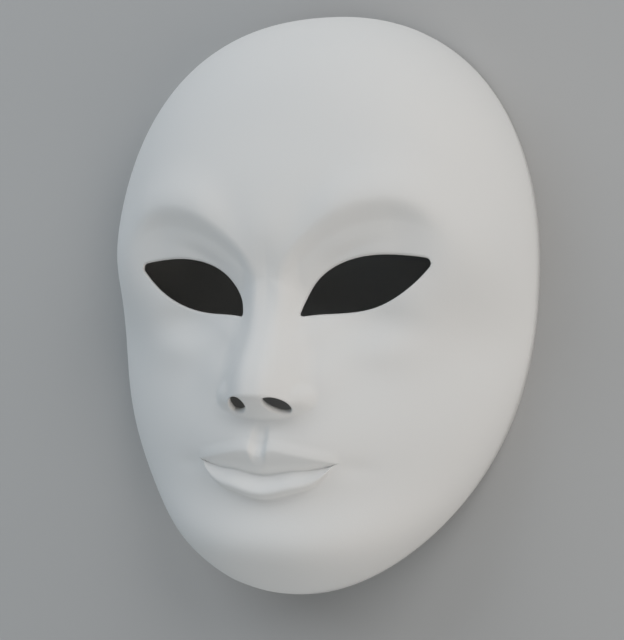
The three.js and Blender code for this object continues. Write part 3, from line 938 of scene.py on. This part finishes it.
# %% Group for brushed gesso
GRAIN_SCALE = 1400
STROKE_SCALE = 160
STROKE_STRETCH = (1.0, 0.22, 0.6)
PATCH_SCALE = 22
FINE_DETAIL = 3
SOFT_DETAIL = 2
gesso_group, group_in, group_out = new_group("brushed gesso", ["Grain", "Strokes", "Patches"])
spot = group_in.outputs["Vector"]
grain = noise(gesso_group, spot, GRAIN_SCALE, FINE_DETAIL, (0, 300))
strokes = noise(gesso_group, spot, STROKE_SCALE, FINE_DETAIL, (0, 0), STROKE_STRETCH)
patches = noise(gesso_group, spot, PATCH_SCALE, SOFT_DETAIL, (0, -300))
for value, name in ((grain, "Grain"), (strokes, "Strokes"), (patches, "Patches")):
    gesso_group.links.new(value, group_out.inputs[name])
print("group:", gesso_group.name, "with", len(gesso_group.nodes), "nodes")

# %% [markdown]
# Bare paper inside
#
# Nobody sands the inside. It shows the torn strips of paper, each a few centimetres long,
# laid one over another and sealed with one thin coat. A stretched Voronoi pattern gives
# patches with an edge between them. Each patch has one random colour: its red is used as
# the height of the strip, which makes the steps, and its green as the tone of the paper.

# %% Group for paper strips
STRIP_SCALE = 34
STRIP_STRETCH = (1.0, 0.55, 0.8)
STRIP_TURN = (0.0, 0.0, 0.5)
paper_group, group_in, group_out = new_group("paper strips", ["Steps", "Tone"])
mapping = add_node(paper_group, "ShaderNodeMapping", (-500, 0))
mapping.inputs["Scale"].default_value = STRIP_STRETCH
mapping.inputs["Rotation"].default_value = STRIP_TURN
paper_group.links.new(group_in.outputs["Vector"], mapping.inputs["Vector"])
strips = add_node(paper_group, "ShaderNodeTexVoronoi", (-200, 0), feature="F1")
strips.inputs["Scale"].default_value = STRIP_SCALE
paper_group.links.new(mapping.outputs["Vector"], strips.inputs["Vector"])
strip_values = add_node(paper_group, "ShaderNodeSeparateColor", (100, 100))
paper_group.links.new(strips.outputs["Color"], strip_values.inputs["Color"])
paper_group.links.new(strip_values.outputs["Red"], group_out.inputs["Steps"])
paper_group.links.new(strip_values.outputs["Green"], group_out.inputs["Tone"])
print("group:", paper_group.name, "with", len(paper_group.nodes), "nodes")

# %% [markdown]
# Starting the material
#
# One Principled shader carries everything. First the nodes are set out: the shader with
# the shine of chalk, the two groups reading the place on the object, and the attribute
# that tells the inside from the outside.

# %% Shader and groups
GESSO_IOR = 1.45
GESSO_SPECULAR = 0.3
gesso = bpy.data.materials.new("gesso")
gesso.use_nodes = True
tree = gesso.node_tree
tree.nodes.clear()
shader = add_node(tree, "ShaderNodeBsdfPrincipled", (700, 0))
shader.inputs["IOR"].default_value = GESSO_IOR
shader.inputs["Specular IOR Level"].default_value = GESSO_SPECULAR
surface = add_node(tree, "ShaderNodeOutputMaterial", (1000, 0))
tree.links.new(shader.outputs["BSDF"], surface.inputs["Surface"])
coordinates = add_node(tree, "ShaderNodeTexCoord", (-1200, 0))
brushed = add_node(tree, "ShaderNodeGroup", (-900, 200), node_tree=gesso_group)
papered = add_node(tree, "ShaderNodeGroup", (-900, -200), node_tree=paper_group)
for group in (brushed, papered):
    tree.links.new(coordinates.outputs["Object"], group.inputs["Vector"])
inside = add_node(tree, "ShaderNodeAttribute", (-900, 500), attribute_name="inside")
mesh.materials.append(gesso)
print("material:", gesso.name, "starts with", len(tree.nodes), "nodes")

# %% [markdown]
# Colour
#
# Dried gesso is never one flat white. Outside, the patches drift between a warm and a cool
# white; inside, each strip of paper has its own tone, a touch greyer.

# %% Base colour
WARM_WHITE = (0.83, 0.82, 0.80, 1.0)
COOL_WHITE = (0.80, 0.80, 0.79, 1.0)
PAPER_WHITE = (0.78, 0.765, 0.735, 1.0)
PAPER_SHADE = (0.70, 0.685, 0.65, 1.0)


def mix_colours(factor, first, second, where):
    """first + factor * (second - first); each may be a colour or another node's output."""
    node = add_node(tree, "ShaderNodeMix", where, data_type="RGBA")
    tree.links.new(factor, node.inputs["Factor"])
    for name, value in (("A", first), ("B", second)):
        target = next(i for i in node.inputs if i.name == name and i.type == "RGBA")
        if isinstance(value, tuple):
            target.default_value = value
        else:
            tree.links.new(value, target)
    return next(o for o in node.outputs if o.type == "RGBA")


white = mix_colours(brushed.outputs["Patches"], WARM_WHITE, COOL_WHITE, (-500, 300))
paper = mix_colours(papered.outputs["Tone"], PAPER_WHITE, PAPER_SHADE, (-500, 0))
colour = mix_colours(inside.outputs["Fac"], white, paper, (-200, 200))
tree.links.new(colour, shader.inputs["Base Color"])
print("material:", gesso.name, "has", len(tree.nodes), "nodes with its colours")

# %% [markdown]
# Roughness and relief
#
# The strokes make the finish a little rougher here and there. Three bumps lie on top of
# one another: the strokes, the finer grain, and inside only, the steps between the strips
# of paper. These are far too low to be modelled, so a bump is enough.

# %% Roughness and bumps
LEAST_ROUGHNESS = 0.58
STROKE_ROUGHNESS = 0.16
STROKE_BUMP = {"Strength": 0.5, "Distance": 0.00008}
GRAIN_BUMP = {"Strength": 0.5, "Distance": 0.00004}
PAPER_BUMP = {"Strength": 0.8, "Distance": 0.0003}


def bump(settings, height, before, where):
    """A bump node with this strength and distance in metres, on top of an earlier one."""
    node = add_node(tree, "ShaderNodeBump", where)
    for name, value in settings.items():
        node.inputs[name].default_value = value
    tree.links.new(height, node.inputs["Height"])
    if before is not None:
        tree.links.new(before, node.inputs["Normal"])
    return node.outputs["Normal"]


stroke = brushed.outputs["Strokes"]
rough = mix_values(tree, "MULTIPLY", stroke, STROKE_ROUGHNESS, (-500, -300))
roughness = mix_values(tree, "ADD", rough, LEAST_ROUGHNESS, (-200, -200))
tree.links.new(roughness, shader.inputs["Roughness"])
step = papered.outputs["Steps"]
paper_height = mix_values(tree, "MULTIPLY", step, inside.outputs["Fac"], (300, -600))
stroked = bump(STROKE_BUMP, stroke, None, (100, -300))
grained = bump(GRAIN_BUMP, brushed.outputs["Grain"], stroked, (300, -300))
tree.links.new(bump(PAPER_BUMP, paper_height, grained, (500, -400)), shader.inputs["Normal"])
print("material:", gesso.name, "is complete with", len(tree.nodes), "nodes")

# %% [markdown]
# The floor
#
# The mask lies on a plain pale sheet. It could be a huge plane, but behind the lamps such a
# plane goes dark, and a low camera sees that as a band. A round sheet that ends below the
# lamps is wide enough for every view from above and stays evenly lit.

# %% Floor
FLOOR_RADIUS = 1.35
FLOOR_SIDES = 96
FLOOR_COLOUR = (0.5, 0.5, 0.495, 1.0)
FLOOR_ROUGHNESS = 0.85
floor_mesh = bpy.data.meshes.new("floor")
angle = np.linspace(0, 2 * np.pi, FLOOR_SIDES, endpoint=False)
corners = FLOOR_RADIUS * np.column_stack([np.cos(angle), np.sin(angle), np.zeros(FLOOR_SIDES)])
floor_mesh.from_pydata(corners.tolist(), [], [tuple(range(FLOOR_SIDES))])
floor = bpy.data.objects.new("floor", floor_mesh)
bpy.context.scene.collection.objects.link(floor)
floor_material = bpy.data.materials.new("floor")
floor_material.use_nodes = True
floor_shader = floor_material.node_tree.nodes["Principled BSDF"]
floor_shader.inputs["Base Color"].default_value = FLOOR_COLOUR
floor_shader.inputs["Roughness"].default_value = FLOOR_ROUGHNESS
floor_mesh.materials.append(floor_material)
print("floor is", 2 * FLOOR_RADIUS, "m wide")

# %% [markdown]
# Light
#
# The photograph is lit softly from all round, most from the upper right, a little warmer
# from the lower right and cooler from the left. A picture of a studio wrapped round the
# scene could do that, but four wide lamps in a ring are simpler to steer, each with its
# own power and tint. The Standard view keeps the white of the gesso as it is, without a
# film curve.

# %% Lights
LAMP_AIM = (0.0, 0.0, 0.04)
LAMP_DISTANCE = 1.5
LAMP_SIZE = 1.2
LAMP_RISE = 0.5
LAMPS = {
    # name: way across and up, power in watts, colour
    "upper right": ((0.61, 0.61), 10.0, (1.0, 0.99, 0.98)),
    "upper left": ((-0.61, 0.61), 8.8, (0.86, 0.93, 1.0)),
    "lower right": ((0.61, -0.61), 7.4, (1.0, 0.94, 0.88)),
    "lower left": ((-0.61, -0.61), 3.2, (0.7, 0.88, 1.0)),
}
SKY_COLOUR = (0.9, 0.95, 1.0, 1.0)
SKY_STRENGTH = 0.13


def area_light(name, direction, power, colour):
    """A square lamp at aim + distance * unit direction, turned so that it faces the aim."""
    lamp = bpy.data.lights.new(name, "AREA")
    lamp.shape = "SQUARE"
    lamp.size = LAMP_SIZE
    lamp.energy = power
    lamp.color = colour
    holder = bpy.data.objects.new(name, lamp)
    way = Vector(direction).normalized()
    holder.location = Vector(LAMP_AIM) + way * LAMP_DISTANCE
    holder.rotation_euler = way.to_track_quat("Z", "Y").to_euler()
    bpy.context.scene.collection.objects.link(holder)


for name, (way, power, tint) in LAMPS.items():
    area_light(name, (*way, LAMP_RISE), power, tint)
world = bpy.data.worlds.new("studio")
world.use_nodes = True
sky = world.node_tree.nodes["Background"]
sky.inputs["Color"].default_value = SKY_COLOUR
sky.inputs["Strength"].default_value = SKY_STRENGTH
bpy.context.scene.world = world
bpy.context.scene.view_settings.view_transform = "Standard"
print("lights:", len(LAMPS), "lamps and a faint cool sky")

# %% [markdown]
# Camera
#
# The camera stands where the photograph was taken from: less than half a metre off, some
# twenty degrees to the right of straight in front of the face, and a little below. The
# angles, the distance and the focal length were fitted to the outline, the eyes and the
# nose of the picture. Its place is the point it aims at, plus the way back from there.

# %% Camera
YAW = math.radians(-19.519)
PITCH = math.radians(-5.555)
ROLL = math.radians(-1.665)
DISTANCE = 423.142
AIM_HEIGHT = 60.0
SHIFT_ACROSS = -15.548
SHIFT_UP = 10.967
FOCAL_PIXELS = 1102.707
AXIS_PIXEL = (310.4, 307.8)
FRAME_PIXELS = (624, 640)
SENSOR = 36.0
NEAR_LIMIT = 0.01
roll, pitch, yaw = (
    Matrix.Rotation(turn, 3, axis) for turn, axis in ((ROLL, "Z"), (PITCH, "X"), (YAW, "Y"))
)
world_to_camera = np.array(roll @ pitch @ yaw)
aim = np.array([0, 0, AIM_HEIGHT])
stand = aim + world_to_camera.T @ np.array([-SHIFT_ACROSS, -SHIFT_UP, DISTANCE])
pose = np.eye(4)
pose[:3, :3] = world_to_camera.T
pose[:3, 3] = stand * MM
camera_data = bpy.data.cameras.new("camera")
camera_data.sensor_width = SENSOR
camera_data.lens = FOCAL_PIXELS * SENSOR / FRAME_PIXELS[1]
camera_data.shift_x = (FRAME_PIXELS[0] / 2 - AXIS_PIXEL[0]) / FRAME_PIXELS[1]
camera_data.shift_y = (AXIS_PIXEL[1] - FRAME_PIXELS[1] / 2) / FRAME_PIXELS[1]
camera_data.clip_start = NEAR_LIMIT
camera = bpy.data.objects.new("camera", camera_data)
bpy.context.scene.collection.objects.link(camera)
camera.matrix_world = Matrix(pose.tolist())
bpy.context.scene.camera = camera
print("camera at", stand.round(0), "mm with a lens of", round(camera_data.lens, 1), "mm")
